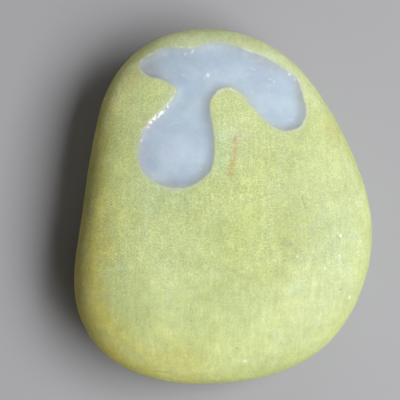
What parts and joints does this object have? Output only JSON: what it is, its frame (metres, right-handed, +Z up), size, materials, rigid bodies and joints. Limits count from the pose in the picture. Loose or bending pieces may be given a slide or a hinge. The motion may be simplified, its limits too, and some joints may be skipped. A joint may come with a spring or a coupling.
{
  "type": "jadeite boulder",
  "caption": "Smooth, flattened river pebble of yellow-green jadeite that lies flat, with a shallow polished window of three lobes ground through its skin.",
  "frame": {"origin": "under the middle of the stone's box, at the height of the flat spot it rests on", "axes": "+Z up, +Y along the stone's length towards its narrow end with the window, +X across it"},
  "size_m": [0.0834, 0.1, 0.033],
  "materials": {
    "jadeite": "waxed, semi-gloss yellow-green skin with fine pale and dark speckle, and a polished blue-grey window"
  },
  "bodies": {
    "root": {"jadeite_boulder": "jadeite"}
  },
  "joints": []
}
